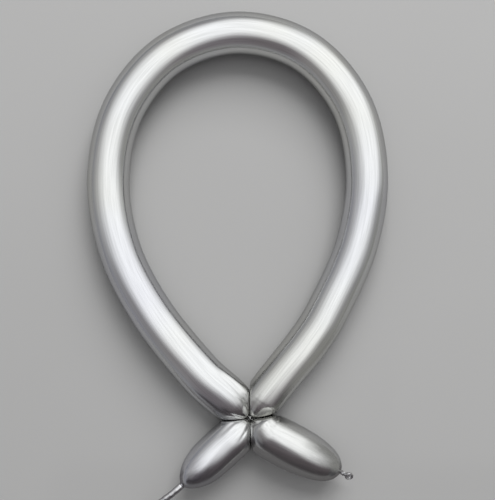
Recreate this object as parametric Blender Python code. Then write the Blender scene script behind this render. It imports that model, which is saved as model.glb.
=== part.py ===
"""Modelling balloon, twisted into a large teardrop loop with two short bubbles below the twist.

Metres, +Z up. The balloon lies flat on a surface at z = 0. Its origin is on that surface, in the
middle of the whole outline, with the loop's round end towards +Y. One long latex tube is pinched at
a single twist: the loop leaves the twist twice, and the two short bubbles leave it the other way,
one ending in the tied nozzle and one in the tail that was left without air.
"""

import math

import bmesh
import bpy
from mathutils import Vector
from mathutils.geometry import interpolate_bezier

MM = 0.001
UP = Vector((0, 0, 1))

# The inflated tube
TUBE_RADIUS = 25.0 * MM
SIDES = 24
FLAT = math.cos(math.pi / SIDES)  # height of a ring's flat side, as a share of its corner radius
TIP_RADIUS = 2.5 * MM  # where a bubble's end narrows into the twist or the knot
END_STEPS = 7  # rings in each rounded end at the twist
OUTER_END_STEPS = 9  # rings in each short bubble's outer end
SHARP_ANGLE = 40.0  # degrees; edges folded more than this are creases

# Neighbours keep this distance, so that no two solids touch
GAP = 0.3 * MM

# The twist, where all four tube ends meet, placed so that the origin is in the outline's middle
TWIST = Vector((14.7 * MM, -184.5 * MM, TUBE_RADIUS * FLAT))

# Upright planes through the twist, on which neighbouring ends press each other flat.
# Degrees from +X, seen from above.
WALL_ANGLE = {"top": 90.0, "left": 185.1, "bottom": 272.7, "right": 370.2}

# The loop's middle line, from the left leg round to the right one. Columns: x, y from the twist.
LOOP_ROUTE_MM = [
    (-4.5, 4.0),
    (-33.5, 27.3),
    (-64.7, 56.5),
    (-117.3, 124.0),
    (-155.3, 200.4),
    (-168.4, 284.4),
    (-150.4, 367.0),
    (-96.7, 431.3),
    (-16.9, 457.2),
    (64.2, 435.8),
    (120.0, 372.7),
    (138.9, 289.9),
    (126.9, 205.5),
    (92.4, 127.4),
    (69.8, 91.0),
    (43.0, 57.6),
    (20.2, 29.0),
    (3.7, 4.8),
]
ROUTE_STEPS = 16  # points from each point of the route to the next
LOOP_STATIONS = 66  # rings between the loop's two rounded ends
LEG_END_LENGTH = 24.0 * MM  # how far each leg's rounded end reaches
LEG_PRESSED_LENGTH = 60.0 * MM  # how far the planes of the twist shape each leg
RIGHT_LEG_THIN = 0.945  # the right leg's radius beside the twist, as a share of the tube's
RIGHT_LEG_THIN_LENGTH = 130.0 * MM  # how far that thinning reaches

# The two short bubbles. Each turns about its own long axis, which starts at pivot, in mm from the
# twist, and points along heading, in degrees from +X. The other lengths are along the axis, in mm
# from the pivot. fullness is the outer end's power: 2 is an ellipse, more is fuller.
BUBBLES = {
    "nozzle": {
        "pivot": (15.4, -17.3),
        "heading": -27.0,
        "radius": 28.3,
        "inner_end": -14.0,
        "widest": (25.0, 33.0),
        "outer_end": 103.2,
        "fullness": 2.3,
        "walls": ("bottom", "right"),
    },
    "tail": {
        "pivot": (-16.1, -20.2),
        "heading": 222.5,
        "radius": 25.3,
        "inner_end": -18.6,
        "widest": (20.0, 34.0),
        "outer_end": 90.6,
        "fullness": 2.0,
        "walls": ("left", "bottom"),
    },
}
INNER_FULLNESS = 3.0  # both bubbles press bluntly against their neighbours at the twist

# The twist's two strands of wrung latex, wound round each other along Y
STRAND_RADIUS = 1.0 * MM
WIND_RADIUS = 1.2 * MM
WIND_TOP = 1.4 * MM
WIND_BOTTOM = -3.2 * MM
WIND_START = {"nozzle": 180.0, "tail": 0.0}  # degrees round the Y axis
WIND_TURN = 200.0
WIND_STEPS = 7
BEND_STEPS = 7  # points along a strand's bend into a bubble's tip, and along the nozzle's stub
STRAND_ROUNDNESS = 2

# The tied nozzle, along the nozzle bubble's axis from its outer end: the knot's two rolls, the
# short stub that bends up to its mouth, and the rolled lip round the mouth
KNOT_LENGTH = 5.0 * MM
KNOT_ROLL_RADIUS = 3.0 * MM
KNOT_WAIST_RADIUS = 2.3 * MM
KNOT_ROLL_POWER = 0.6  # under 1, the rolls are fuller than plain waves
KNOT_STEPS = 12
NOZZLE_SIDES = 16
MOUTH_OFFSET = Vector((4.6, 1.2, 2.8)) * MM  # from the knot's end to the stub's, along the bubble
MOUTH_LEAN = 60.0  # degrees above level to which the mouth is turned
MOUTH_TURN = -58.0  # degrees from the bubble's axis, seen from above
STUB_RADIUS = (1.9 * MM, 3.7 * MM)  # at the knot and at the mouth
STUB_FLARE_POWER = 1.5  # over 1, the stub widens most near its mouth
STUB_WALL = 0.6 * MM
LIP_RADIUS = 4.2 * MM  # to the middle of the roll
LIP_ROLL_RADIUS = 0.9 * MM
LIP_SEGMENTS = 20
LIP_ROLL_SIDES = 10

# The tail without air, along the tail bubble's axis from its outer end
TAIL_RADIUS = 3.1 * MM
TAIL_LENGTH = 49.0 * MM
TAIL_DROOP = 4.0 * MM
TAIL_SWAY = -4.0 * MM  # how far its end bends aside
TAIL_ROUND_FROM = 0.85  # share of the length at which the tail's end begins to round off
TAIL_END_SHARE = 0.45  # the tail's radius at its very end, as a share of its full radius
TAIL_SIDES = 12
TAIL_STEPS = 14

# Plain looks: colour, roughness, metallic
INFLATED_LOOK = ((0.78, 0.79, 0.82), 0.2, 1.0)
SLACK_LOOK = ((0.62, 0.62, 0.64), 0.38, 0.9)


def clear_scene():
    """Removes whatever the open file holds."""
    for thing in list(bpy.data.objects):
        bpy.data.objects.remove(thing, do_unlink=True)


def make_material(name, colour, roughness, metallic):
    """One plain Principled material."""
    material = bpy.data.materials.new(name)
    material.use_nodes = True
    shader = material.node_tree.nodes["Principled BSDF"]
    shader.inputs["Base Color"].default_value = (*colour, 1)
    shader.inputs["Roughness"].default_value = roughness
    shader.inputs["Metallic"].default_value = metallic
    return material


def finish(name, mesh, material, parent=None):
    """Puts a mesh in the scene as one named piece, shaded smooth except at its creases."""
    mesh.materials.append(material)
    mesh.shade_smooth()
    mesh.set_sharp_from_angle(angle=math.radians(SHARP_ANGLE))
    piece = bpy.data.objects.new(name, mesh)
    piece.parent = parent
    bpy.context.collection.objects.link(piece)
    return piece


def level_direction(degrees):
    """A level unit vector at an angle from +X."""
    return Vector((math.cos(math.radians(degrees)), math.sin(math.radians(degrees)), 0))


def wall_normals(*names):
    """Unit normals of two planes of the twist, each pointing into the wedge between them."""
    first, second = (WALL_ANGLE[name] for name in names)
    return [level_direction(first + 90), level_direction(second - 90)]


def ring(centre, heading, radius, sides, normals=()):
    """Corners of one cross-section, each pulled in to the planes that press the tube flat."""
    across = heading.cross(UP).normalized()
    upward = across.cross(heading)
    corners = []
    for k in range(sides):
        turn = 2 * math.pi * (k + 0.5) / sides
        direction = across * math.cos(turn) + upward * math.sin(turn)
        reach = radius
        for normal in normals:
            approach = -direction.dot(normal)
            if approach > 0:
                reach = min(reach, ((centre - TWIST).dot(normal) - GAP / 2) / approach)
        corners.append(centre + direction * reach)
    return corners


def skin(rings):
    """A closed mesh through a row of rings: one face is extruded from each ring to the next."""
    shape = bmesh.new()
    bmesh.ops.create_circle(shape, cap_ends=True, segments=len(rings[0]), radius=1)
    shape.faces.ensure_lookup_table()
    cap = shape.faces[0]
    for vertex, place in zip(cap.verts, rings[0]):
        vertex.co = place
    for corners in rings[1:]:
        cap = bmesh.ops.extrude_discrete_faces(shape, faces=[cap])["faces"][0]
        for vertex, place in zip(cap.verts, corners):
            vertex.co = place
    bmesh.ops.holes_fill(shape, edges=shape.edges)
    bmesh.ops.recalc_face_normals(shape, faces=shape.faces)
    mesh = bpy.data.meshes.new("skin")
    shape.to_mesh(mesh)
    shape.free()
    return mesh


def smooth_route(points):
    """Close points along one smooth curve that passes through the given ones."""
    last = len(points) - 1
    dense = []
    for i in range(last):
        before, start, end, after = (points[min(max(k, 0), last)] for k in range(i - 1, i + 3))
        handle_out = start + (end - before) / 6
        handle_in = end - (after - start) / 6
        dense += interpolate_bezier(start, handle_out, handle_in, end, ROUTE_STEPS)[:-1]
    return dense + [points[-1]]


def walk(dense, distances):
    """The place and the heading at each distance along a row of close points."""
    found = []
    gone = 0.0
    i = 0
    for distance in distances:
        step = (dense[i + 1] - dense[i]).length
        while gone + step < distance and i < len(dense) - 2:
            gone += step
            i += 1
            step = (dense[i + 1] - dense[i]).length
        place = dense[i].lerp(dense[i + 1], (distance - gone) / step)
        before, after = dense[max(i - 1, 0)], dense[min(i + 2, len(dense) - 1)]
        found.append((place, (after - before).normalized()))
    return found


def end_angles():
    """Angles of the rings in a rounded end, from the narrow tip to the full width."""
    first = math.asin(TIP_RADIUS / TUBE_RADIUS)
    return [first + (math.pi / 2 - first) * k / END_STEPS for k in range(END_STEPS + 1)]


def loop_mesh():
    """The long bubble: a teardrop loop whose two ends come back to the twist side by side."""
    dense = smooth_route([TWIST + Vector((x, y, 0)) * MM for x, y in LOOP_ROUTE_MM])
    length = sum((b - a).length for a, b in zip(dense, dense[1:]))
    leg = [(LEG_END_LENGTH * (1 - math.cos(t)), math.sin(t)) for t in end_angles()]
    middle = length - 2 * LEG_END_LENGTH
    stations = leg + [
        (LEG_END_LENGTH + middle * k / LOOP_STATIONS, 1.0) for k in range(1, LOOP_STATIONS)
    ]
    stations += [(length - distance, share) for distance, share in reversed(leg)]

    rings = []
    for (centre, heading), (distance, share) in zip(
        walk(dense, [distance for distance, share in stations]), stations
    ):
        left = length - distance
        thinning = max(0.0, 1 - left / RIGHT_LEG_THIN_LENGTH)
        radius = TUBE_RADIUS * share * (1 - (1 - RIGHT_LEG_THIN) * thinning)
        normals = []
        if distance < LEG_PRESSED_LENGTH:
            normals = wall_normals("top", "left")
        elif left < LEG_PRESSED_LENGTH:
            normals = wall_normals("right", "top")
        rings.append(ring(centre, heading, radius, SIDES, normals))
    return skin(rings)


def room_between_walls(size, distance):
    """Largest radius that a short bubble may have there and still turn clear of its neighbours."""
    along = level_direction(size["heading"])
    centre = Vector((*size["pivot"], 0)) * MM + along * distance
    across = along.cross(UP)
    normals = [level_direction(WALL_ANGLE[name]).cross(UP) for name in size["walls"]]
    return min((abs(centre.dot(n)) - GAP / 2) / abs(across.dot(n)) for n in normals)


def bubble_mesh(size):
    """A short bubble as a turned shape along +X, narrow at both ends."""
    radius = size["radius"] * MM
    inner_tip, outer_tip = size["inner_end"] * MM, size["outer_end"] * MM
    inner_widest, outer_widest = (x * MM for x in size["widest"])
    tip_share = TIP_RADIUS / radius
    stations = []
    for angle in end_angles():
        distance = inner_widest - (inner_widest - inner_tip) * math.cos(angle)
        full = radius * math.sin(angle) ** (2 / INNER_FULLNESS)
        stations.append((distance, max(TIP_RADIUS, min(full, room_between_walls(size, distance)))))
    first = math.asin(tip_share ** (size["fullness"] / 2))
    for k in range(OUTER_END_STEPS, -1, -1):
        angle = first + (math.pi / 2 - first) * k / OUTER_END_STEPS
        distance = outer_widest + (outer_tip - outer_widest) * math.cos(angle)
        stations.append((distance, radius * math.sin(angle) ** (2 / size["fullness"])))
    along = Vector((1, 0, 0))
    return skin([ring(along * distance, along, r, SIDES) for distance, r in stations])


def bubble_pivot(name, size):
    """An empty on a short bubble's own axis, about which the bubble turns."""
    pivot = bpy.data.objects.new(f"{name}_bubble_pivot", None)
    place = Vector((*size["pivot"], 0)) * MM + TWIST
    place.z = size["radius"] * MM * FLAT
    pivot.location = place
    pivot.rotation_euler.z = math.radians(size["heading"])
    bpy.context.collection.objects.link(pivot)
    return pivot


def leg_end(tip, next_point):
    """A leg's tip beside the twist, and the direction in which the leg runs away from there."""
    away = Vector((next_point[0] - tip[0], next_point[1] - tip[1], 0)).normalized()
    return TWIST + Vector((*tip, 0)) * MM, away


def bend_between(start, start_heading, end, end_heading):
    """Points along one smooth bend that leaves start along one heading and reaches end along another."""
    reach = (end - start).length / 3
    return interpolate_bezier(
        start, start + start_heading * reach, end - end_heading * reach, end, BEND_STEPS
    )


def strand_route(leg_tip, leg_heading, start_turn, size):
    """Middle line of one wrung strand, from a leg's tip, round the other strand, to a bubble."""
    wound = []
    for k in range(WIND_STEPS + 1):
        share = k / WIND_STEPS
        turn = math.radians(start_turn + WIND_TURN * share)
        y = WIND_TOP + (WIND_BOTTOM - WIND_TOP) * share
        offset = Vector((WIND_RADIUS * math.cos(turn), y, WIND_RADIUS * math.sin(turn)))
        wound.append(TWIST + offset)
    first_heading = (wound[1] - wound[0]).normalized()
    last_heading = (wound[-1] - wound[-2]).normalized()
    along = level_direction(size["heading"])
    tip = TWIST + Vector((*size["pivot"], 0)) * MM + along * size["inner_end"] * MM
    tip.z = size["radius"] * MM * FLAT
    lead_in = bend_between(leg_tip - leg_heading * GAP, -leg_heading, wound[0], first_heading)
    lead_out = bend_between(wound[-1], last_heading, tip - along * GAP, along)
    return lead_in[:-1] + wound + lead_out[1:]


def strand(name, route, material):
    """A round strand along a route, with flat ends."""
    curve = bpy.data.curves.new(name, "CURVE")
    curve.dimensions = "3D"
    curve.bevel_depth = STRAND_RADIUS
    curve.bevel_resolution = STRAND_ROUNDNESS
    curve.use_fill_caps = True
    spline = curve.splines.new("POLY")
    spline.points.add(len(route) - 1)
    for point, place in zip(spline.points, route):
        point.co = (*place, 1)
    curve.materials.append(material)
    piece = bpy.data.objects.new(name, curve)
    bpy.context.collection.objects.link(piece)


def knot_mesh(start):
    """The tied neck as two rolls side by side, on the nozzle bubble's axis."""
    along = Vector((1, 0, 0))
    rings = []
    for k in range(KNOT_STEPS + 1):
        share = k / KNOT_STEPS
        rolls = abs(math.sin(2 * math.pi * share)) ** KNOT_ROLL_POWER
        base = STUB_RADIUS[0] if k in (0, KNOT_STEPS) else KNOT_WAIST_RADIUS
        radius = base + (KNOT_ROLL_RADIUS - KNOT_WAIST_RADIUS) * rolls
        rings.append(ring(along * (start + KNOT_LENGTH * share), along, radius, NOZZLE_SIDES))
    return skin(rings)


def stub_stations(start):
    """Places, headings and radii along the stub, which bends up from the axis to its mouth."""
    lean, turn = math.radians(MOUTH_LEAN), math.radians(MOUTH_TURN)
    along = Vector((1, 0, 0))
    facing = Vector(
        (math.cos(lean) * math.cos(turn), math.cos(lean) * math.sin(turn), math.sin(lean))
    )
    root = along * start
    places = bend_between(root, along, root + MOUTH_OFFSET, facing)
    last = len(places) - 1
    stations = []
    for k, place in enumerate(places):
        before, after = places[max(k - 1, 0)], places[min(k + 1, last)]
        heading = {0: along, last: facing}.get(k, (after - before).normalized())
        widening = (STUB_RADIUS[1] - STUB_RADIUS[0]) * (k / last) ** STUB_FLARE_POWER
        stations.append((place, heading, STUB_RADIUS[0] + widening))
    return stations


def stub_mesh(stations):
    """The nozzle's stub: a small funnel, hollow from its mouth down to the knot."""
    rings = [ring(*station, NOZZLE_SIDES) for station in stations]
    for place, heading, radius in reversed(stations[2:]):
        rings.append(ring(place, heading, radius - STUB_WALL, NOZZLE_SIDES))
    return skin(rings)


def lip_mesh(mouth, heading):
    """The rolled lip as a ring round the stub's mouth."""
    middle = mouth + heading * (LIP_ROLL_RADIUS + GAP)
    side = heading.cross(UP).normalized()
    shape = bmesh.new()
    roll = [
        shape.verts.new(
            middle
            + side * (LIP_RADIUS + LIP_ROLL_RADIUS * math.cos(2 * math.pi * k / LIP_ROLL_SIDES))
            + heading * (LIP_ROLL_RADIUS * math.sin(2 * math.pi * k / LIP_ROLL_SIDES))
        )
        for k in range(LIP_ROLL_SIDES)
    ]
    edges = [shape.edges.new((a, b)) for a, b in zip(roll, roll[1:] + roll[:1])]
    bmesh.ops.spin(
        shape,
        geom=roll + edges,
        cent=middle,
        axis=heading,
        angle=2 * math.pi,
        steps=LIP_SEGMENTS,
        use_merge=True,
    )
    bmesh.ops.recalc_face_normals(shape, faces=shape.faces)
    mesh = bpy.data.meshes.new("lip")
    shape.to_mesh(mesh)
    shape.free()
    return mesh


def tail_mesh(start):
    """The tail without air: a thin tube that droops and bends aside a little and ends round."""
    rings = []
    for k in range(TAIL_STEPS + 1):
        share = k / TAIL_STEPS
        aside, down = TAIL_SWAY * share, -TAIL_DROOP * share**2
        heading = Vector((1, TAIL_SWAY / TAIL_LENGTH, -2 * TAIL_DROOP * share / TAIL_LENGTH))
        place = Vector((start + TAIL_LENGTH * share, aside, down))
        rounding = max(0.0, (share - TAIL_ROUND_FROM) / (1 - TAIL_ROUND_FROM))
        radius = TAIL_RADIUS * math.sqrt(1 - (1 - TAIL_END_SHARE**2) * rounding**2)
        rings.append(ring(place, heading.normalized(), radius, TAIL_SIDES))
    return skin(rings)


clear_scene()
inflated = make_material("chrome_latex", *INFLATED_LOOK)
slack = make_material("slack_chrome_latex", *SLACK_LOOK)

finish("loop_bubble", loop_mesh(), inflated)

left_leg = leg_end(LOOP_ROUTE_MM[0], LOOP_ROUTE_MM[1])
right_leg = leg_end(LOOP_ROUTE_MM[-1], LOOP_ROUTE_MM[-2])
strand("nozzle_side_twist", strand_route(*left_leg, WIND_START["nozzle"], BUBBLES["nozzle"]), slack)
strand("tail_side_twist", strand_route(*right_leg, WIND_START["tail"], BUBBLES["tail"]), slack)

nozzle_pivot = bubble_pivot("nozzle", BUBBLES["nozzle"])
finish("nozzle_bubble", bubble_mesh(BUBBLES["nozzle"]), inflated, nozzle_pivot)
knot_start = BUBBLES["nozzle"]["outer_end"] * MM + GAP
finish("nozzle_knot", knot_mesh(knot_start), slack, nozzle_pivot)
stub = stub_stations(knot_start + KNOT_LENGTH + GAP)
finish("nozzle_stub", stub_mesh(stub), slack, nozzle_pivot)
finish("nozzle_lip", lip_mesh(stub[-1][0], stub[-1][1]), slack, nozzle_pivot)

tail_pivot = bubble_pivot("tail", BUBBLES["tail"])
finish("tail_bubble", bubble_mesh(BUBBLES["tail"]), inflated, tail_pivot)
finish("tail", tail_mesh(BUBBLES["tail"]["outer_end"] * MM + GAP), slack, tail_pivot)
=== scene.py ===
# %% [markdown]
# # A silver modelling balloon, twisted into a loop
#
# One long latex tube is bent into a teardrop and wrung at a single place, with a short bubble on
# each side below the twist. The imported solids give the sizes; this lesson gives the balloon its
# skin, which is pressed flat where its neighbours touch it, and its mirror-like finish.

import math

import bpy
import numpy as np
from mathutils import Matrix, Vector, noise
from mathutils.geometry import interpolate_bezier


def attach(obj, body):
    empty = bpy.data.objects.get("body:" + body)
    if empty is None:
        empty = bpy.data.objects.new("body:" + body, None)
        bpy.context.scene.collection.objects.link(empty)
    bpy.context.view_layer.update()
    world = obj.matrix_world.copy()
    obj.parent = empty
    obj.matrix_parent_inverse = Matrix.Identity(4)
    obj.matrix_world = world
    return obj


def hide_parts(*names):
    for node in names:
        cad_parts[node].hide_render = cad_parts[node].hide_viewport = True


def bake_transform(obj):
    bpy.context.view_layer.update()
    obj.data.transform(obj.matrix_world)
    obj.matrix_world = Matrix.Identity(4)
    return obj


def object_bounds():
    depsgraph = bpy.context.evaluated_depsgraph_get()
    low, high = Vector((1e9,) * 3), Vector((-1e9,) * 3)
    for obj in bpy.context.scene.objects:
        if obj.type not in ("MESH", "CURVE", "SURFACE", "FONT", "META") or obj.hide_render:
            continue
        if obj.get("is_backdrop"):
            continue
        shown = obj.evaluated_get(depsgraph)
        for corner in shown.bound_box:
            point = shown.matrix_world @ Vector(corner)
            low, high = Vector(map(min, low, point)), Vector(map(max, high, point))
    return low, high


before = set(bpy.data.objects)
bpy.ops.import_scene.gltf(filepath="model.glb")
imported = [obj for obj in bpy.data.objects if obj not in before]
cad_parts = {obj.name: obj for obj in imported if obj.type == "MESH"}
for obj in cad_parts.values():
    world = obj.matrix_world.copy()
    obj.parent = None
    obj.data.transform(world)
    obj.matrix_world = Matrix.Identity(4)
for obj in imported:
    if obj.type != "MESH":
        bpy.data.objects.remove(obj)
cad_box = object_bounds()
MM = 0.001

# %% [markdown]
# ## Camera
#
# The picture looks straight down on the balloon. Matching the light bands on the inner and outer
# sides of the tube put the lens about a metre above it. A camera with no rotation looks down with
# +Y at the top of the picture, so it only has to be lifted into place.

# %% Look straight down from a metre
PICTURE_CENTRE = Vector((11.7, 14.8, 25.0)) * MM
CAMERA_HEIGHT = 1.0
FIELD_WIDTH = 0.589  # metres seen across the picture, at the tube's middle

bpy.ops.object.select_all(action="DESELECT")
bpy.ops.object.camera_add(location=PICTURE_CENTRE + Vector((0, 0, CAMERA_HEIGHT)))
camera = bpy.context.object
camera.data.sensor_fit = "HORIZONTAL"
camera.data.lens = camera.data.sensor_width * CAMERA_HEIGHT / FIELD_WIDTH
bpy.context.scene.camera = camera
print("lens", round(camera.data.lens, 1), "mm")

# %% [markdown]
# ## Floor
#
# The balloon lies on plain pale grey board. A plane with a very soft mottle is enough, and it is
# marked as stage so that it doesn't count as part of the balloon. The board's material, like every
# finish below, is made of nodes, so a few helpers for nodes come first.


# %% Materials and nodes
def new_material(name, **constants):
    """A material whose shader gets these constants; returns it, its node tree and the shader."""
    material = bpy.data.materials.new(name)
    material.use_nodes = True
    shader = material.node_tree.nodes["Principled BSDF"]
    for socket, value in constants.items():
        shader.inputs[socket.replace("_", " ").title()].default_value = value
    return material, material.node_tree, shader


def add(tree, kind, settings=(), **inputs):
    """Adds a node, sets its properties and fills its sockets with values or links."""
    node = tree.nodes.new(kind)
    for key, value in dict(settings).items():
        setattr(node, key, value)
    for key, value in inputs.items():
        socket = node.inputs[int(key[1:]) if key[0] == "_" else key.replace("_", " ").title()]
        if isinstance(value, bpy.types.NodeSocket):
            tree.links.new(value, socket)
        elif socket.type == "RGBA" and len(value) == 3:
            socket.default_value = (*value, 1)
        else:
            socket.default_value = value
    return node


def ramp(tree, value, stops):
    """A colour ramp with (place, grey or colour) stops."""
    node = add(tree, "ShaderNodeValToRGB", fac=value)
    elements = node.color_ramp.elements
    while len(elements) < len(stops):
        elements.new(0.5)
    for element, (place, colour) in zip(elements, stops):
        element.position = place
        element.color = (*colour, 1) if isinstance(colour, tuple) else (colour, colour, colour, 1)
    return node.outputs["Color"]


# %% Lay the board
BOARD_SIZE = 6.0
BOARD_DROP = 0.4 * MM  # just below the balloon's lowest line

bpy.ops.object.select_all(action="DESELECT")
bpy.ops.mesh.primitive_plane_add(size=BOARD_SIZE, location=(0, 0, -BOARD_DROP))
board = bpy.context.object
board.name = "board"
board_material, tree, shader = new_material("pale_board", roughness=0.75)
coords = add(tree, "ShaderNodeTexCoord").outputs["Object"]
mottle = add(tree, "ShaderNodeTexNoise", vector=coords, scale=3.0, detail=3.0).outputs["Fac"]
greys = ramp(tree, mottle, [(0.0, (0.205, 0.204, 0.202)), (1.0, (0.217, 0.216, 0.214))])
tree.links.new(greys, shader.inputs["Base Color"])
board.data.materials.append(board_material)
board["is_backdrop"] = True
print("board", tuple(round(x, 2) for x in board.dimensions))

# %% [markdown]
# ## Light
#
# A mirror-like skin shows its surroundings, so the light is the most visible part of the finish.
# The balloon lies under one wide, soft, bright area: overhead, reaching far down on the side of the
# loop's round end and furthest towards the upper right, and ending soon on the photographer's
# side, where it is darkest. Three float curves give, for each compass direction, where the bright
# area ends, how softly it ends, and how light the grey below it is. The camera itself sees plain
# pale grey.

# %% The sky by compass direction
# Direction in degrees from +X; how far from straight up the bright area reaches, and over how many
# degrees it fades; how light the grey below it is, on its way down to the horizon's grey
SKY = [
    (0, 45, 63, 0.40), (22, 76, 62, 0.34), (45, 82, 47, 0.36), (68, 74, 56, 0.35),
    (90, 66, 34, 0.37), (112, 57, 50, 0.30), (135, 48, 71, 0.41), (157, 40, 73, 0.46),
    (180, 30, 82, 0.52), (202, 29, 62, 0.36), (225, 26, 44, 0.31), (247, 19, 45, 0.20),
    (270, 19, 48, 0.22), (292, 29, 43, 0.23), (315, 39, 54, 0.32), (337, 39, 65, 0.36),
]
OVERHEAD = (1.46, 1.48, 1.49)
BRIGHT = (1.50, 1.52, 1.53)
OVERHEAD_ENDS = (5.0, 40.0)  # degrees from straight up between which it becomes BRIGHT
GREY_LEFT = (0.345, 0.351, 0.374)
GREY_RIGHT = (0.345, 0.349, 0.329)
GREYS_MEET = (-0.8, 0.8)  # where in X, on a unit ball, the left grey becomes the right one
HORIZON_BEGINS = (60.0, 90.0)  # degrees from straight up between which those greys take over
PLUM = (1.04, 0.95, 1.02)  # the tint of the darkest greys
PLUM_ENDS = (0.2, 0.4)  # shades between which that tint goes
CAMERA_GREY = (0.5, 0.5, 0.5)
print("brightest towards", max(SKY, key=lambda row: row[1])[0], "degrees from +X")


# %% Short names for the nodes used most
def maths(tree, operation, *values):
    """One Math node on numbers or sockets; returns its result."""
    inputs = {f"_{k}": value for k, value in enumerate(values)}
    return add(tree, "ShaderNodeMath", {"operation": operation}, **inputs).outputs[0]


def soft_step(tree, value, low, high):
    """0 below low, 1 above high, smooth between."""
    smooth = {"interpolation_type": "SMOOTHSTEP"}
    node = add(tree, "ShaderNodeMapRange", smooth, value=value, from_min=low, from_max=high)
    return node.outputs[0]


def mixed(tree, share, first, second, blend="MIX"):
    """A mix of two colours."""
    colours = {"data_type": "RGBA", "blend_type": blend}
    return add(tree, "ShaderNodeMix", colours, _0=share, _6=first, _7=second).outputs[2]


# %% Directions in the sky
world = bpy.data.worlds.new("light_tent")
bpy.context.scene.world = world
world.use_nodes = True
tree = world.node_tree
around = add(tree, "ShaderNodeTexCoord").outputs["Generated"]
x, y, z = add(tree, "ShaderNodeSeparateXYZ", vector=around).outputs
tilt = maths(tree, "MULTIPLY", maths(tree, "ARCCOSINE", z), 180 / math.pi)
turned = maths(tree, "DIVIDE", maths(tree, "ARCTAN2", y, x), 2 * math.pi)
compass = maths(tree, "WRAP", turned, 1.0, 0.0)


# %% The sky's three curves
def by_compass(column, top):
    """A column of SKY as a smooth curve round the compass; its values stay below top."""
    node = add(tree, "ShaderNodeFloatCurve", value=compass)
    points = node.mapping.curves[0].points
    for row in SKY[1:]:
        points.new(row[0] / 360, row[column] / top)
    points[0].location = (0, SKY[0][column] / top)
    points[-1].location = (1, SKY[0][column] / top)
    node.mapping.update()
    return maths(tree, "MULTIPLY", node.outputs[0], top)


edge, softness, shade = by_compass(1, 90.0), by_compass(2, 90.0), by_compass(3, 1.0)

# %% Bright above, grey below, darker and plum on the photographer's side
half = maths(tree, "MULTIPLY", softness, 0.5)
low, high = maths(tree, "SUBTRACT", edge, half), maths(tree, "ADD", edge, half)
beyond = soft_step(tree, tilt, low, high)
tint = mixed(tree, soft_step(tree, shade, *PLUM_ENDS), PLUM, (1.0, 1.0, 1.0))
scaled = add(tree, "ShaderNodeVectorMath", {"operation": "SCALE"}, _0=tint, scale=shade)
grey = mixed(tree, soft_step(tree, x, *GREYS_MEET), GREY_LEFT, GREY_RIGHT)
below = mixed(tree, soft_step(tree, tilt, *HORIZON_BEGINS), scaled.outputs[0], grey)
above = mixed(tree, soft_step(tree, tilt, *OVERHEAD_ENDS), OVERHEAD, BRIGHT)
radiance = mixed(tree, beyond, above, below)
seen = add(tree, "ShaderNodeLightPath").outputs["Is Camera Ray"]
shown = mixed(tree, seen, radiance, CAMERA_GREY)
tree.links.new(shown, tree.nodes["Background"].inputs["Color"])
bpy.context.scene.view_settings.view_transform = "Standard"
print("world nodes", len(tree.nodes))

# %% [markdown]
# ## Key light and cards
#
# The shadows on the board lie on the photographer's side of the tube, soft and short: the strongest
# light comes from beyond the round end, a little past halfway up. It is a large square area light
# that mirrors don't show, because the bright area above already stands for it there. The near sides
# of the two short bubbles are the darkest of all, because something dark was close in front of
# them, and the board ended just below the picture. Cards with soft edges, which only mirrors close
# by show, stand for that: a dark one hangs in front, one lies on the board, and a grey one, dark at
# its near end, stands at the side.

# %% Hang the key light
KEY_DISTANCE, KEY_TILT, KEY_COMPASS = 4.0, 49.0, 77.0
KEY_SIZE, KEY_POWER = 2.67, 297.0

tilted, turned = math.radians(KEY_TILT), math.radians(KEY_COMPASS)
level = math.sin(tilted)
key_way = Vector((level * math.cos(turned), level * math.sin(turned), math.cos(tilted)))
facing = key_way.to_track_quat("Z", "Y").to_euler()
bpy.ops.object.select_all(action="DESELECT")
bpy.ops.object.light_add(type="AREA", location=key_way * KEY_DISTANCE, rotation=facing)
key = bpy.context.object
key.data.size = KEY_SIZE
key.data.energy = KEY_POWER
key.visible_glossy = False
print("key light", [round(x, 2) for x in key.location])


# %% The shape of a card
def card_mesh(name, near, far):
    """A card between two rows of points; each corner keeps its place in the card, in metres."""
    bpy.ops.object.select_all(action="DESELECT")
    bpy.ops.mesh.primitive_grid_add(x_subdivisions=len(near) - 1, y_subdivisions=1, size=1)
    card = bpy.context.object
    card.name = name
    inside = card.data.attributes.new("inside", "FLOAT_VECTOR", "POINT")
    spread = [(Vector(p) - Vector(near[0])).length for p in near]
    for vertex, value in zip(card.data.vertices, inside.data):
        k, distant = round((vertex.co.x + 0.5) * (len(near) - 1)), vertex.co.y < 0
        depth = (Vector(far[k]) - Vector(near[k])).length if distant else 0
        vertex.co = far[k] if distant else near[k]
        value.vector = (spread[k], spread[-1] - spread[k], depth)
    return card


# %% The glow of a card
SEEN_FROM = (0.22, 0.40)  # a card fades from view for skin this far from its near edge, in metres
CARD_CHANGE = (0.22, 0.30)  # how far from its left end its right-hand character takes over
CARD_ENDS = 0.05  # over what length its two ends fade


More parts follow.
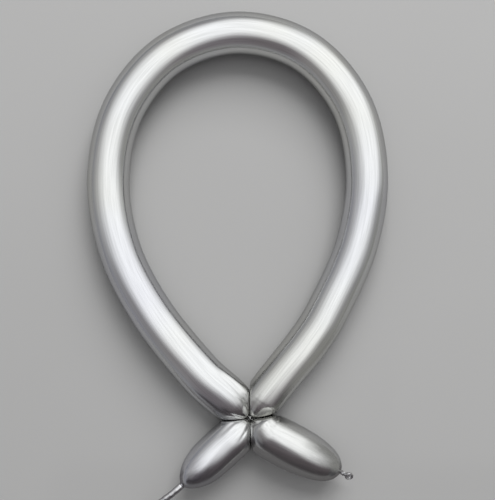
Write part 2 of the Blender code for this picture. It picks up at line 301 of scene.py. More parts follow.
def card_material(name, softness, shades, ends, change):
    """A glow that is clear at the card's soft edges, and clear for skin far from it."""
    material = bpy.data.materials.new(name)
    material.use_nodes = True
    tree = material.node_tree
    tree.nodes.remove(tree.nodes["Principled BSDF"])
    place = add(tree, "ShaderNodeAttribute", {"attribute_name": "inside"}).outputs["Vector"]
    left, right, depth = add(tree, "ShaderNodeSeparateXYZ", vector=place).outputs
    faded = soft_step(tree, left, 0.0, ends), soft_step(tree, right, 0.0, ends)
    solid = maths(tree, "MULTIPLY", *faded)
    rightward = soft_step(tree, left, *change)
    extra = maths(tree, "MULTIPLY", rightward, softness[1] - softness[0])
    fade = maths(tree, "ADD", extra, softness[0])
    solid = maths(tree, "MULTIPLY", solid, soft_step(tree, depth, 0.0, fade))
    length = add(tree, "ShaderNodeLightPath").outputs["Ray Length"]
    away = soft_step(tree, maths(tree, "SUBTRACT", length, depth), *SEEN_FROM)
    solid = maths(tree, "MULTIPLY", solid, maths(tree, "SUBTRACT", 1.0, away))
    colour = mixed(tree, rightward, *shades[0][1])
    for (start, _), (finish, later) in zip(shades, shades[1:]):
        colour = mixed(tree, soft_step(tree, depth, start, finish), colour, later)
    glow = add(tree, "ShaderNodeEmission", color=colour).outputs[0]
    clear = add(tree, "ShaderNodeBsdfTransparent").outputs[0]
    both = add(tree, "ShaderNodeMixShader", _0=solid, _1=clear, _2=glow).outputs[0]
    tree.links.new(both, tree.nodes["Material Output"].inputs["Surface"])
    return material


def soft_card(name, near, far, softness, shades, ends=CARD_ENDS, change=CARD_CHANGE):
    """A card that only mirrors show, from its soft near edge to its far edge, in metres.

    shades are (depth, colour). The softness and the first colour are pairs, for left and right.
    """
    card = card_mesh(name, near, far)
    card.data.materials.append(card_material(name, softness, shades, ends, change))
    card.visible_camera = card.visible_diffuse = card.visible_shadow = False
    card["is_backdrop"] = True
    print(name, [round(x, 2) for x in card.dimensions])


# %% Put up the three cards
HANGING_HEIGHT, LYING_HEIGHT = 0.10, 0.004
HANGING_EDGE = [
    (-0.26, -0.337), (-0.21, -0.337), (-0.12, -0.255), (-0.06, -0.241), (-0.02, -0.198),
    (0.01, -0.206), (0.07, -0.201), (0.13, -0.227), (0.20, -0.278), (0.25, -0.278),
]
FAR_Y = -3.0
LYING_GREY = (0.188, 0.183, 0.185)
SIDE_X = 0.19
SIDE_TOP, SIDE_NEAR, SIDE_FAR = 0.27, -0.447, -0.089


def fanned(x):
    """Where a point of the hanging card's near edge goes at its far edge, so that it fans out."""
    return 4 * x + 30 * x**3


soft_card(
    "hanging_card",
    near=[(x, y, HANGING_HEIGHT) for x, y in HANGING_EDGE],
    far=[(fanned(x), FAR_Y, 0.0) for x, _ in HANGING_EDGE],
    softness=(0.124, 0.076),
    shades=[
        (0.04, ((0.019, 0.018, 0.025), (0.126, 0.110, 0.117))),
        (0.16, (0.074, 0.067, 0.071)),
        (0.6, (0.156, 0.151, 0.154)),
    ],
)
soft_card(
    "lying_card",
    near=[(-0.24, -0.225, LYING_HEIGHT), (0.42, -0.225, LYING_HEIGHT)],
    far=[(-1.0, FAR_Y, LYING_HEIGHT), (3.4, FAR_Y, LYING_HEIGHT)],
    softness=(0.04, 0.04),
    shades=[(0.1, (LYING_GREY, LYING_GREY))],
)
soft_card(
    "side_card",
    near=[(SIDE_X, SIDE_NEAR, SIDE_TOP), (SIDE_X, SIDE_FAR, SIDE_TOP)],
    far=[(SIDE_X, SIDE_NEAR, 0.0), (SIDE_X, SIDE_FAR, 0.0)],
    softness=(0.25, 0.25),
    shades=[(0.1, ((0.09, 0.09, 0.095), (0.32, 0.32, 0.31)))],
    ends=0.08,
    change=(0.11, 0.19),
)

# %% [markdown]
# ## The tube's middle line
#
# The bubbles are one tube, so each skin is made from a middle line and a radius along it. The
# loop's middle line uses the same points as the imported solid, in millimetres from the twist.
# The short bubbles leave the twist at a slant and then run straight along the axes on which they
# turn; the tail's bubble also rises gently towards its far end.

# %% Middle lines
TWIST = Vector((14.7, -184.5, 24.786)) * MM
LOOP_ROUTE = [
    (-1.3, 1.15), (-33.5, 27.3), (-64.7, 56.5), (-117.3, 124.0), (-155.3, 200.4),
    (-168.4, 284.4), (-150.4, 367.0), (-96.7, 431.3), (-16.9, 457.2), (64.2, 435.8),
    (120.0, 372.7), (138.9, 289.9), (126.9, 205.5), (92.4, 127.4), (69.8, 91.0),
    (43.0, 57.6), (20.2, 29.0), (1.1, 1.35),
]
# Pivot in mm from the twist, heading in degrees from +X, height of the axis in mm, the blown part's
# length from the pivot in mm, and how steeply it rises past RISE_START
AXES = {
    "nozzle": dict(pivot=(15.4, -17.3), heading=-27.0, height=28.058, end=103.2, slope=0.0),
    "tail": dict(pivot=(-16.1, -20.2), heading=222.5, height=25.084, end=87.4, slope=0.07),
}
RISE_START = 20.0
TIP_DISTANCE = 1.7  # from the twist to a short bubble's inner tip, in mm


def smooth_curve(points, steps=24):
    """Close points along one smooth curve through the given ones."""
    points = [Vector(p).to_3d() for p in points]
    last = len(points) - 1
    dense = []
    for i in range(last):
        before, start, end, after = (points[min(max(k, 0), last)] for k in range(i - 1, i + 3))
        handles = start + (end - before) / 6, end - (after - start) / 6
        dense += interpolate_bezier(start, *handles, end, steps)[:-1]
    return np.array([tuple(p) for p in dense + [points[-1]]])


def lengths_along(curve):
    """Distance from the start to each point of a dense curve."""
    return np.concatenate([[0], np.cumsum(np.linalg.norm(np.diff(curve, axis=0), axis=1))])


def level_direction(degrees):
    """A level unit vector at an angle from +X."""
    return Vector((math.cos(math.radians(degrees)), math.sin(math.radians(degrees)), 0))


def rise_at(size, x):
    """How far a short bubble's middle line is above its level axis, in mm."""
    return size["slope"] * max(0.0, x - RISE_START)


def short_route(side):
    """Middle line of a short bubble: a slant from the twist, then its straight axis."""
    size = AXES[side]
    pivot, along = Vector((*size["pivot"], 0)), level_direction(size["heading"])
    lift = Vector((0, 0, size["height"] - TWIST.z / MM))
    tip = pivot.normalized() * TIP_DISTANCE
    spots = (4, 20, 40, 60, 80, size["end"])
    ahead = [pivot + along * x + lift + Vector((0, 0, rise_at(size, x))) for x in spots]
    return [tip, tip.lerp(pivot, 0.5) + lift * 0.6, *ahead]


# %% Put the lines through the twist
routes = {"loop": [(x, y, 0) for x, y in LOOP_ROUTE]}
routes |= {side: short_route(side) for side in AXES}
lines = {name: np.array(TWIST) + smooth_curve(route) * MM for name, route in routes.items()}
print({name: round(lengths_along(line)[-1], 4) for name, line in lines.items()})

# %% [markdown]
# ## How wide the tube is along its length
#
# A blown-up tube has the same width nearly all along, and ends in a blunt dome wherever it is
# wrung or tied. The domes here are measured: radius in mm at each distance in mm from the end.
# A smooth curve through those points gives rings that lie closer where the dome curves most.

# %% Radius along each bubble
LEFT_LEG = [
    (0, 1.2), (0.3, 4.3), (1.1, 8.0), (2.6, 11.7), (5.0, 15.1), (8.5, 18.1), (13.0, 20.8),
    (17.5, 22.8), (22.0, 24.2), (28.0, 25.2), (36.0, 25.7), (50.0, 25.7), (80.0, 25.2),
    (110.0, 25.0),
]
RIGHT_LEG = [
    (0, 1.2), (0.3, 4.3), (1.1, 7.9), (2.6, 11.4), (5.0, 14.7), (8.5, 17.5), (13.0, 20.0),
    (17.5, 21.8), (22.0, 22.9), (28.0, 23.7), (45.0, 24.1), (70.0, 24.3), (100.0, 24.8),
    (130.0, 25.0),
]
LOOP_RADIUS = 25.0
LOOP_LENGTH = lengths_along(lines["loop"])[-1] / MM
RADII = {
    "loop": LEFT_LEG
    + [(x, LOOP_RADIUS) for x in np.linspace(180, LOOP_LENGTH - 200, 10)]
    + [(LOOP_LENGTH - x, r) for x, r in reversed(RIGHT_LEG)],
    "nozzle": [
        (0, 1.2), (0.4, 5.4), (1.6, 9.8), (4.0, 14.6), (8.0, 19.2), (13.0, 22.6),
        (20.0, 25.2), (29.0, 27.0), (42.0, 28.0), (56.0, 28.0), (70.0, 27.5), (86.0, 25.6),
        (99.0, 22.8), (108.5, 19.4), (115.5, 14.9), (120.4, 9.6), (123.0, 4.6), (124.1, 2.1),
    ],
    "tail": [
        (0, 1.2), (0.4, 5.4), (1.6, 9.8), (4.0, 14.4), (8.0, 18.6), (13.0, 21.6),
        (20.0, 23.8), (28.0, 24.8), (38.0, 25.06), (54.0, 25.06), (66.0, 24.8), (76.0, 23.9),
        (86.0, 21.9), (96.0, 18.3), (103.0, 14.4), (108.6, 9.9), (112.2, 5.6), (114.2, 2.9),
    ],
}
LOOP_SPACING, SHORT_SPACING, DOME_SPACING = 5.0, 2.5, 0.75  # between rings, in mm
DOME_SHARE = 0.94  # a ring narrower than this share of the widest one belongs to a dome


def ring_places(name, spacing):
    """Distances and radii of rings, evenly spaced on the outline: spacing mm, less on a dome."""
    outline = smooth_curve([(x, r, 0) for x, r in RADII[name]], 40)
    travel = lengths_along(outline)
    dome = outline[:-1, 1] < outline[:, 1].max() * DOME_SHARE
    steps = np.where(dome, DOME_SPACING, spacing)
    fine = np.concatenate([[0], np.cumsum(np.diff(travel) / steps)])
    picks = np.linspace(0, fine[-1], int(fine[-1]) + 2)
    distance = np.interp(picks, fine, outline[:, 0]) * MM
    return distance, np.interp(picks, fine, outline[:, 1]) * MM


spacings = {"loop": LOOP_SPACING, "nozzle": SHORT_SPACING, "tail": SHORT_SPACING}
ring_sets = {name: ring_places(name, spacing) for name, spacing in spacings.items()}
print({name: len(rings[0]) for name, rings in ring_sets.items()})

# %% [markdown]
# ## Pressed flat and pleated
#
# At the twist four blown ends crowd round one point. Where two touch, they press each other flat on
# an upright plane, and the skin rolls over from that flat into the round tube with no corner. The
# crowding also pushes each end's crest to one side and up or down, most of all next to the twist,
# and the nozzle's bubble has a raised shoulder there. Close to the twist the skin is gathered in
# small pleats that die out within a couple of centimetres, and a few grooves run on further. A
# simulation would need the neighbours' pressure too; moving each point of a ring is exact and
# quick.

# %% How the twist shapes the rings
WALL_ANGLE = {"top": 90.0, "left": 185.1, "bottom": 272.7, "right": 370.2}
GAP = 0.3 * MM  # between neighbouring skins
ROLL_OVER = 1.8 * MM  # how broadly the skin rolls over from a flat
PRESSED = 62.0 * MM  # how far from the twist the planes reach
LEAN_FADE, RISE_FADE = 50.0 * MM, 40.0 * MM  # over what length the crest's lean and rise die out
SHOULDER_FADE = 12.0 * MM  # the same for its shoulder
SIDES = 192
PLEATS = 15  # pairs of pleats round an end
PLEAT_DEPTH = 0.35 * MM
PLEAT_LENGTH = 15.0 * MM
# Grooves: place round the section in degrees (90 is the top), length, depth and width in mm
GROOVES = {
    ("loop", "start"): [(43, 68, 2.6, 5.0), (122, 30, 0.8, 2.8)],
    ("loop", "finish"): [(68, 30, 0.9, 3.0)],
    ("nozzle", "start"): [(124, 36, 0.8, 3.0)],
    ("tail", "start"): [(50, 42, 0.8, 3.0), (104, 26, 0.8, 2.5)],
}
# The loop's left leg is wider on its inner side, the right-hand one looking away from the twist:
# by what share, how far from the twist that is greatest, and how far it spreads, in mm
WIDER = {"loop": (0.10, 90, 100)}
print("grooves", sum(len(grooves) for grooves in GROOVES.values()))


# %% Round sections that lean, rise and widen
def free_reach(name, ends, distance, radius, length, turns):
    """How far each ring reaches on each side before anything presses it."""
    side, top = np.cos(turns)[None, :], np.sin(turns)[None, :]
    lean, rise = np.zeros((len(distance), 1)), np.zeros((len(distance), 1))
    for end, _, leaning, rising, shoulder in ends:
        from_end = (distance if end == "start" else length - distance)[:, None]
        lean += leaning * np.exp(-from_end / LEAN_FADE)
        rise += rising * MM * np.exp(-from_end / RISE_FADE)
        rise += shoulder * MM * np.exp(-((from_end / SHOULDER_FADE) ** 2))
    tall = np.where(top > 0, 1 + rise / radius.max(), 1)
    share, middle, spread = WIDER.get(name, (0, 0, 1))
    bulge = share * np.exp(-(((distance / MM - middle) / spread) ** 2))
    wide = np.where(side > 0, 1 + bulge[:, None], 1)
    return radius[:, None] / np.sqrt((side / wide - lean * top) ** 2 + (top / tall) ** 2)


# %% Pleats, grooves and flats
def pleated(reach, distance, turns, seed, grooves):
    """Gathers a ring into uneven pleats near the twist, and sinks a few longer grooves into it."""
    fade = np.clip(1 - distance / PLEAT_LENGTH, 0, 1) ** 1.5 * np.clip(distance / (2 * MM), 0, 1)
    wander = 0.9 * np.sin(2 * turns + seed) + 0.5 * np.sin(5 * turns + 2 * seed)
    folds = np.abs(np.sin(PLEATS * turns + wander))
    strength = 0.6 + 0.4 * np.sin(3 * turns + seed)
    reach = reach - PLEAT_DEPTH * fade[:, None] * (strength * (1 - folds) ** 2)[None, :]
    for place, length, depth, width in grooves:
        begin = np.clip(distance / (5 * MM), 0, 1)
        fade = np.clip(1 - distance / (length * MM), 0, 1) ** 0.7 * begin
        across = (turns - math.radians(place)) * reach.max(1)[:, None] / (width * MM)
        reach = reach - depth * MM * fade[:, None] * np.exp(-(across**2))
    return reach


def smooth_min(a, b, width):
    """The smaller of two, rounded over where they are nearly equal."""
    near = np.maximum(width - np.abs(a - b), 0) / width
    return np.minimum(a, b) - near**2 * width / 4


def pressed(reach, centres, ways, names):
    """Pulls each ring in to the planes that press it."""
    first, second = (WALL_ANGLE[name] for name in names)
    for normal in (level_direction(first + 90), level_direction(second - 90)):
        normal = np.array(normal)
        room = (centres - np.array(TWIST)) @ normal - GAP / 2
        approach = np.maximum(-(ways @ normal), 1e-6)
        limit = np.minimum(room[:, None] / approach, 1.0)
        overlap = reach.max(1) - room
        width = np.clip(overlap, 0.01 * MM, ROLL_OVER)[:, None]
        reach = smooth_min(reach, limit, width)
    return reach


# %% Corners of every ring of one bubble
def bubble_rings(name, ends, seed):
    """Corners of every ring, and where on the tube they are.

    ends lists (which end, its two planes, its crest's lean, its rise and its shoulder in mm).
    """
    line = lines[name]
    travel = lengths_along(line)
    distance, radius = ring_sets[name]
    distance = distance * travel[-1] / distance[-1]
    centres = np.stack([np.interp(distance, travel, line[:, k]) for k in range(3)], 1)
    slopes = np.gradient(line, travel, axis=0)
    heading = np.stack([np.interp(distance, travel, slopes[:, k]) for k in range(3)], 1)
    heading[:, 2] = 0
    heading /= np.linalg.norm(heading, axis=1)[:, None]
    across = np.stack([heading[:, 1], -heading[:, 0], np.zeros(len(heading))], 1)
    up = np.array([0, 0, 1.0])
    turns = np.linspace(0, 2 * math.pi, SIDES, endpoint=False) - math.pi / 2
    cosines, sines = np.cos(turns), np.sin(turns)
    ways = across[:, None] * cosines[None, :, None] + up * sines[None, :, None]
    reach = free_reach(name, ends, distance, radius, travel[-1], turns)
    for end, names, *_ in ends:
        from_end = distance if end == "start" else travel[-1] - distance
        near = from_end < PRESSED
        shaped = pleated(reach[near], from_end[near], turns, seed, GROOVES[name, end])
        reach[near] = pressed(shaped, centres[near], ways[near], names)
        seed += 1.7
    below = np.maximum(-ways[..., 2], 1e-6)
    reach = np.minimum(reach, centres[:, 2, None] / below)
    corners = centres[:, None] + ways * reach[..., None]
    along = np.repeat(distance[:, None], SIDES, 1)
    tube = np.stack([radius[:, None] * cosines, radius[:, None] * sines, along], -1)
    return corners, tube


# %% [markdown]
# ## Rolling a sheet into a skin
#
# A grid primitive is a flat sheet of quads. Rolled up, it becomes a tube whose seam is merged, and
# whose two small open ends are filled and closed to a point. Each point also keeps its place on the
# tube as an attribute, so that streaks in the finish can run along it with no seam.


# %% Roll up a skin
def rolled_skin(name, corners, tube):
    """A closed skin through a row of rings, from a grid primitive."""
    rows, columns, _ = corners.shape
    bpy.ops.object.select_all(action="DESELECT")
    bpy.ops.mesh.primitive_grid_add(x_subdivisions=columns, y_subdivisions=rows - 1, size=1)
    piece = bpy.context.object
    piece.name = piece.data.name = name
    flat = np.empty(len(piece.data.vertices) * 3, np.float32)
    piece.data.vertices.foreach_get("co", flat)
    flat = flat.reshape(-1, 3)
    column = np.rint((flat[:, 0] + 0.5) * columns).astype(int) % columns
    row = np.rint((flat[:, 1] + 0.5) * (rows - 1)).astype(int)
    piece.data.vertices.foreach_set("co", corners[row, column].astype(np.float32).ravel())
    places = piece.data.attributes.new("tube", "FLOAT_VECTOR", "POINT")
    places.data.foreach_set("vector", tube[row, column].astype(np.float32).ravel())
    bpy.ops.object.mode_set(mode="EDIT")
    bpy.ops.mesh.select_mode(type="VERT")
    bpy.ops.mesh.select_all(action="SELECT")
    bpy.ops.mesh.remove_doubles(threshold=1e-6)
    bpy.ops.mesh.select_all(action="DESELECT")
    bpy.ops.mesh.select_non_manifold()
    bpy.ops.mesh.fill_holes(sides=0)
    bpy.ops.mesh.select_mode(type="FACE")
    bpy.ops.mesh.select_all(action="DESELECT")
    bpy.ops.mesh.select_face_by_sides(number=4, type="GREATER")
    bpy.ops.mesh.poke()
    bpy.ops.mesh.select_all(action="SELECT")
    bpy.ops.mesh.normals_make_consistent(inside=False)
    bpy.ops.object.mode_set(mode="OBJECT")
    bpy.ops.object.shade_smooth()
    return piece


# %% [markdown]
# ## The three bubbles
#
# The loop is pressed at both its ends, each short bubble only at its inner end. The ends' numbers
# are the crest's lean, its rise and its shoulder, as the highlights next to the twist show them.

# %% Blow up the loop
loop_ends = [
    ("start", ("top", "left"), 0.47, -11.0, 0.0), ("finish", ("right", "top"), 0.0, -6.5, 0.0),
]
loop_skin = rolled_skin("loop_skin", *bubble_rings("loop", loop_ends, 0.4))
print("loop", [round(x, 4) for x in loop_skin.dimensions], len(loop_skin.data.polygons), "faces")

# %% Blow up the two short bubbles
nozzle_end = [("start", ("bottom", "right"), -0.40, 8.0, 11.0)]
tail_end = [("start", ("left", "bottom"), 0.15, -5.5, 0.0)]
nozzle_skin = rolled_skin("nozzle_bubble_skin", *bubble_rings("nozzle", nozzle_end, 2.3))
tail_skin = rolled_skin("tail_bubble_skin", *bubble_rings("tail", tail_end, 5.1))
for piece in (nozzle_skin, tail_skin):
    print(piece.name, [round(x, 4) for x in piece.dimensions], len(piece.data.polygons), "faces")

# %% [markdown]
# ## The wrung strands
#
# Between the bubbles the latex is wrung into strands a couple of millimetres thick. They are thin,
# round and curved, which is what a bevelled curve does best: one strand leads from the left leg to
# the nozzle's bubble, the other from the right leg to the tail's, wound round each other.


# %% Curves with a round section
def nurbs_curve(points, resolution, closed=False):
    """An open or closed NURBS curve with these control points."""
    bpy.ops.object.select_all(action="DESELECT")
    if closed:
        bpy.ops.curve.primitive_nurbs_circle_add()
    else:
        bpy.ops.curve.primitive_nurbs_path_add()
    piece = bpy.context.object
    piece.data.splines.clear()
    spline = piece.data.splines.new("NURBS")
    spline.points.add(len(points) - 1)
    for point, place in zip(spline.points, points):
        point.co = (*place, 1)
    spline.use_cyclic_u, spline.use_endpoint_u = closed, not closed
    spline.order_u = 4
    spline.resolution_u = resolution
    return piece


def thickened(piece, name, radius):
    """Turns a curve into a round tube with closed ends."""
    piece.name = piece.data.name = name
    piece.data.bevel_depth = radius
    piece.data.bevel_resolution = 4
    piece.data.use_fill_caps = True
    bpy.ops.object.convert(target="MESH")
    bpy.ops.object.shade_smooth()
    return piece


# %% Wind the two strands
STRAND_RADIUS = 0.8 * MM
WIND_RADIUS = 0.8 * MM
WOUND_LENGTH = 2.6 * MM
WIND_TURNS = 0.75
WIND_STEPS = 12


def strand(name, start, finish, start_turn):
    """A strand from one bubble's tip, round the twist's middle, to another bubble's tip."""
    path = []
    for k in range(WIND_STEPS + 1):
        share = k / WIND_STEPS
        turn = math.radians(start_turn) + 2 * math.pi * WIND_TURNS * share
        side, rise = WIND_RADIUS * math.cos(turn), WIND_RADIUS * math.sin(turn)
        path.append(TWIST + Vector((side, WOUND_LENGTH * (0.5 - share), rise)))
    return thickened(nurbs_curve([start, *path, finish], 4), name, STRAND_RADIUS)


tips = {name: Vector(line[0]) for name, line in lines.items()}
right_tip = Vector(lines["loop"][-1])
nozzle_strand = strand("nozzle_strand", tips["loop"], tips["nozzle"], 180)
tail_strand = strand("tail_strand", right_tip, tips["tail"], 0)
print("strands", len(nozzle_strand.data.polygons) + len(tail_strand.data.polygons), "faces")

# %% [markdown]
# ## The tied nozzle
#
# Past the bubble's outer end the neck is tied in one overhand knot. After the knot comes a bit of
# unfilled tube, flared into the rolled lip that the pump held. The knot is a closed curve with a
# round bevel, the flared stub a circle extruded and widened step by step, the lip a torus. They are
# made along X, and moved onto the bubble's axis at the end.

# %% Tie the knot
KNOT_MIDDLE = 106.0 * MM  # along the bubble's axis from its pivot
KNOT_SPREAD, KNOT_SWING = 1.6 * MM, 0.55 * MM  # how far its strand runs from the axis, and varies
KNOT_REACH = 1.35 * MM  # how far it runs along the axis to either side
KNOT_TUBE = 0.95 * MM
KNOT_STEPS = 36

winding = []
for k in range(KNOT_STEPS):
    turn = 2 * math.pi * k / KNOT_STEPS
    spread = KNOT_SPREAD + KNOT_SWING * math.cos(3 * turn)
    along = KNOT_MIDDLE + KNOT_REACH * math.sin(3 * turn)
    winding.append((along, spread * math.cos(2 * turn), spread * math.sin(2 * turn)))
knot = thickened(nurbs_curve(winding, 4, closed=True), "knot", KNOT_TUBE)
print("knot", [round(x / MM, 1) for x in knot.dimensions], "mm")


# %% A tube extruded step by step from a circle
def stepped_tube(name, stations, sides, close_ends):
    """Extrudes a circle along +X; stations are (distance in mm, radius in mm)."""
    bpy.ops.object.select_all(action="DESELECT")
    fill = "NGON" if close_ends else "NOTHING"
    first_x, first_radius = stations[0]
    bpy.ops.mesh.primitive_circle_add(
        vertices=sides, radius=first_radius * MM, fill_type=fill,
        location=(first_x * MM, 0, 0), rotation=(0, math.pi / 2, 0),
    )
    piece = bpy.context.object
    piece.name = piece.data.name = name
    bpy.ops.object.transform_apply(location=True, rotation=True, scale=True)
    bpy.ops.object.mode_set(mode="EDIT")
    bpy.ops.mesh.select_all(action="SELECT")
    extrude = bpy.ops.mesh.extrude_region_move if close_ends else bpy.ops.mesh.extrude_edges_move
    for (x0, r0), (x1, r1) in zip(stations, stations[1:]):
        extrude(TRANSFORM_OT_translate={"value": ((x1 - x0) * MM, 0, 0)})
        bpy.ops.transform.resize(value=(1, r1 / r0, r1 / r0), center_override=(x1 * MM, 0, 0))
    bpy.ops.mesh.select_all(action="SELECT")
    bpy.ops.mesh.normals_make_consistent(inside=False)
    bpy.ops.object.mode_set(mode="OBJECT")
    bpy.ops.object.shade_smooth()
    return piece


# %% Select, and bend along a curve
def only(piece):
    """Makes one object the selected and active one."""
    bpy.ops.object.select_all(action="DESELECT")
    piece.select_set(True)
    bpy.context.view_layer.objects.active = piece


def bend_along(piece, points):
    """Bends a piece made along +X with a Curve modifier, from the first point on."""
    path = nurbs_curve(points, 16)
    path.data.twist_mode = "Z_UP"
    only(piece)
    bend = piece.modifiers.new("bend", "CURVE")
    bend.object = path
    bpy.ops.object.modifier_apply(modifier="bend")
    bpy.data.objects.remove(path)


# %% Flare the stub
NECK = [(102.6, 2.2), (103.6, 1.5), (106, 1.1), (108.4, 1.4), (109.2, 1.8)]
FLARE = [(0, 1.75), (0.9, 1.85), (2.0, 2.1), (3.2, 2.55), (4.4, 3.15), (5.3, 3.7), (5.8, 4.1)]
STUB_WALL = 0.35 * MM
STUB_START = Vector((108.8, 0, 0)) * MM
MOUTH = STUB_START + Vector((4.6, 1.2, 2.8)) * MM
MOUTH_TILT, MOUTH_TURN = math.radians(60.0), math.radians(-58.0)  # up from level, and sideways

level = math.cos(MOUTH_TILT)
FACING = Vector((level * math.cos(MOUTH_TURN), level * math.sin(MOUTH_TURN), math.sin(MOUTH_TILT)))
core = stepped_tube("neck_core", NECK, 24, True)
stub = stepped_tube("stub", FLARE, 32, False)
only(stub)
wall = stub.modifiers.new("wall", "SOLIDIFY")
wall.thickness, wall.offset = STUB_WALL, -1.0
bpy.ops.object.modifier_apply(modifier="wall")
handle = (MOUTH - STUB_START).length / 3
ahead, back = STUB_START + Vector((handle, 0, 0)), MOUTH - FACING * handle
bend_along(stub, [STUB_START, ahead, back, MOUTH + FACING * 0.4 * MM])
print("stub", [round(x / MM, 1) for x in stub.dimensions], "mm")

# %% Roll the lip
LIP_MIDDLE = MOUTH + FACING * 1.1 * MM
LIP_RADIUS, LIP_THICKNESS = 4.15 * MM, 0.9 * MM
LIP_GRAIN, LIP_UNEVENNESS = 2.2 * MM, 0.16 * MM

bpy.ops.object.select_all(action="DESELECT")
bpy.ops.mesh.primitive_torus_add(
    location=LIP_MIDDLE, rotation=FACING.to_track_quat("Z", "X").to_euler(),
    major_radius=LIP_RADIUS, minor_radius=LIP_THICKNESS, major_segments=64, minor_segments=20,
)
lip = bpy.context.object
lip.name = lip.data.name = "rolled_lip"
bpy.ops.object.transform_apply(location=True, rotation=True, scale=True)
for vertex in lip.data.vertices:
    uneven = noise.noise(vertex.co / LIP_GRAIN) * LIP_UNEVENNESS
    vertex.co += (vertex.co - LIP_MIDDLE).normalized() * uneven
bpy.ops.object.shade_smooth()
print("lip", [round(x / MM, 1) for x in lip.dimensions], "mm")


# %% Put the nozzle's pieces on the bubble's axis
def along_axis(side):
    """Where a short bubble's own axis lies: X along it, from its pivot."""
    size = AXES[side]
    place = Vector((*size["pivot"], size["height"])) * MM + Vector((*TWIST.xy, 0))
    return Matrix.Translation(place) @ Matrix.Rotation(math.radians(size["heading"]), 4, "Z")


def put_on_axis(piece, side):
    """Moves a piece made along X at the origin onto a short bubble's axis."""
    only(piece)
    piece.matrix_world = along_axis(side) @ piece.matrix_world
    bpy.ops.object.transform_apply(location=True, rotation=True, scale=True)


only(core)
knot.select_set(True)
bpy.context.view_layer.objects.active = knot
bpy.ops.object.join()
for piece in (knot, stub, lip):
    put_on_axis(piece, "nozzle")
print("knot with its neck", len(knot.data.polygons), "faces")

# %% [markdown]
# ## The tail that stayed without air
#
# The last few centimetres were never filled, so they are still as narrow as the tube was when new:
# a slack tube that droops and bends aside a little, not quite round, with its far end closed.

# %% Draw out the tail
TAIL_START = AXES["tail"]["end"] + 0.2
TAIL_LENGTH = 52.2
TAIL_RADIUS = 3.8
TAIL_ROUNDED = 0.1  # the share of its length over which it rounds off at the end
TAIL_ROOT = rise_at(AXES["tail"], TAIL_START) * MM
TAIL_ASIDE = TAIL_DROOP = 4.0 * MM

shares = np.linspace(0, 1, 27)
swell = 1 + 0.035 * np.sin(17 * shares) + 0.03 * np.sin(41 * shares + 1)
ending = np.clip((shares - (1 - TAIL_ROUNDED)) / TAIL_ROUNDED, 0, 1)
widths = TAIL_RADIUS * swell * np.sqrt(1 - ending**2 * 0.8)
stations = [(TAIL_START + TAIL_LENGTH * s, w) for s, w in zip(shares, widths)]
tail = stepped_tube("slack_tail", stations, 32, True)
for vertex in tail.data.vertices:
    share = (vertex.co.x / MM - TAIL_START) / TAIL_LENGTH
    around = math.atan2(vertex.co.z, vertex.co.y)
    crease = 1 - 0.05 * abs(math.sin(2.5 * around + 2 * share)) ** 3
    vertex.co.y = vertex.co.y * crease * 1.04 - TAIL_ASIDE * share**2
    vertex.co.z = vertex.co.z * crease * 0.93 + TAIL_ROOT - (TAIL_ROOT + TAIL_DROOP) * share**2
put_on_axis(tail, "tail")
print("tail", [round(x / MM, 1) for x in tail.dimensions], "mm")

# %% [markdown]
# ## Chrome latex
#
# The tube is latex with a metal-like skin: a mirror that is slightly soft, because the surface is
# very finely rough. Blowing it up stretches the colour into faint streaks along the tube, seen as
# slight changes of gloss and tiny ripples in the highlights. Its tint wanders between cool silver,
# lavender and a hint of olive, as it does on thin metallic coats, and it darkens towards its rims.


# %% The finish, with streaks along the tube
def streaks(tree, fineness):
    """Noise drawn out along the tube."""
    place = add(tree, "ShaderNodeAttribute", {"attribute_name": "tube"}).outputs["Vector"]
    scale = (fineness, fineness, fineness / 28)
    spread = add(tree, "ShaderNodeMapping", vector=place, scale=scale).outputs[0]
    return add(tree, "ShaderNodeTexNoise", vector=spread, scale=1.0, detail=3.0).outputs["Fac"]


def finish(tree, shader, colour, gloss, rough, height, bump):
    """Links a shader's colour, its roughness between two values, and bumps (strength, depth)."""
    tree.links.new(colour, shader.inputs["Base Color"])
    softer = add(tree, "ShaderNodeMapRange", value=gloss, to_min=rough[0], to_max=rough[1])
    tree.links.new(softer.outputs[0], shader.inputs["Roughness"])
    ripple = add(tree, "ShaderNodeBump", strength=bump[0], distance=bump[1], height=height)
    tree.links.new(ripple.outputs["Normal"], shader.inputs["Normal"])


def chrome_latex(name):
    """Blown-up silver latex."""
    material, tree, shader = new_material(name, metallic=1.0, specular_tint=(0.65, 0.65, 0.65, 1))
    coords = add(tree, "ShaderNodeTexCoord").outputs["Object"]
    drift = add(tree, "ShaderNodeTexNoise", vector=coords, scale=5.0, detail=2.0).outputs["Fac"]
    lavender, silver, olive = (0.578, 0.578, 0.612), (0.604, 0.607, 0.611), (0.608, 0.606, 0.578)
    tint = ramp(tree, drift, [(0.3, lavender), (0.5, silver), (0.7, olive)])
    shades = ramp(tree, streaks(tree, 520.0), [(0.34, 0.91), (0.5, 0.985), (0.66, 1.03)])
    colour = mixed(tree, 1.0, tint, shades, "MULTIPLY")
    broad, fine = streaks(tree, 260.0), streaks(tree, 1300.0)
    ripples = maths(tree, "MULTIPLY", broad, 0.7), maths(tree, "MULTIPLY", fine, 0.3)
    height = maths(tree, "ADD", *ripples)
    finish(tree, shader, colour, broad, (0.12, 0.22), height, (0.06, 1.2 * MM))
    return material


chrome = chrome_latex("chrome_latex_skin")
print("chrome nodes", len(chrome.node_tree.nodes))

# %% [markdown]
# ## Slack latex
#
# Where the latex isn't stretched its metal coat lies closer, and is a little brighter. Fine
# wrinkles break up what it mirrors.


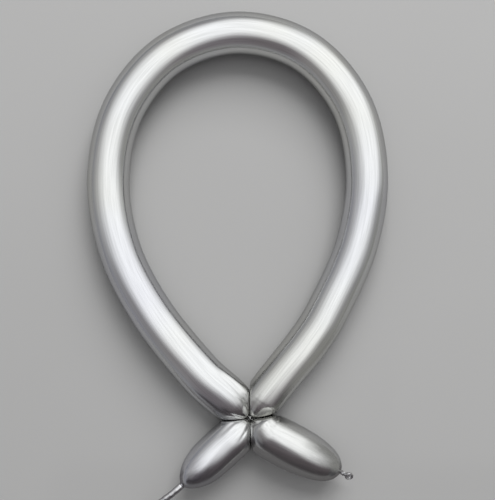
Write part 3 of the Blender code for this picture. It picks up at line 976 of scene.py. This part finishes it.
# %% The wrinkled finish of the unstretched latex
def slack_latex(name):
    """Silver latex with no air in it."""
    material, tree, shader = new_material(name, metallic=1.0, specular_tint=(0.3, 0.3, 0.3, 1))
    coords = add(tree, "ShaderNodeTexCoord").outputs["Object"]
    blotch = add(tree, "ShaderNodeTexNoise", vector=coords, scale=380.0, detail=4.0).outputs["Fac"]
    tint = ramp(tree, blotch, [(0.3, (0.55, 0.55, 0.57)), (0.7, (0.80, 0.79, 0.79))])
    finish(tree, shader, tint, blotch, (0.12, 0.30), blotch, (0.35, 0.4 * MM))
    return material


slack = slack_latex("slack_latex_skin")
print("slack nodes", len(slack.node_tree.nodes))

# %% [markdown]
# ## What moves with what
#
# Each short bubble turns about its own axis. The knot, stub and lip are hung on the nozzle's
# bubble and the slack tail on the tail's; the loop's skin and both strands are hung on the loop.
# The two short bubbles' own skins, pressed at the twist, are only baked in place, on no body.

# %% Hang the pieces on their bodies, all but the short bubbles' skins
SHOWN = {
    loop_skin: ("loop_bubble",), nozzle_skin: ("nozzle_bubble",), tail_skin: ("tail_bubble",),
    nozzle_strand: ("nozzle_side_twist",), tail_strand: ("tail_side_twist",),
    knot: ("nozzle_knot",), stub: ("nozzle_stub",), lip: ("nozzle_lip",), tail: ("tail",),
}

for piece, nodes in SHOWN.items():
    blown = piece in (loop_skin, nozzle_skin, tail_skin)
    material = chrome if blown else slack
    piece.data.materials.clear()
    piece.data.materials.append(material)
    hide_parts(*nodes)
    for node in nodes:
        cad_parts[node].data.materials.clear()
        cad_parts[node].data.materials.append(material)

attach(loop_skin, "loop")
for piece in (nozzle_strand, tail_strand):
    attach(piece, "loop")
for piece in (knot, stub, lip):
    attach(piece, "nozzle_bubble")
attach(tail, "tail_bubble")
# The short bubbles' skins are only baked in place; last lies just before each outer dome closes
for piece, side, last in ((nozzle_skin, "nozzle", 94 * MM), (tail_skin, "tail", 82 * MM)):
    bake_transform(piece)
print("pieces shown", len(SHOWN))

# %% Measure the whole and finish
shown_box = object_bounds()
for low, high in zip(cad_box, shown_box):
    print("grown by mm", [round((b - a) / MM, 1) for a, b in zip(low, high)])
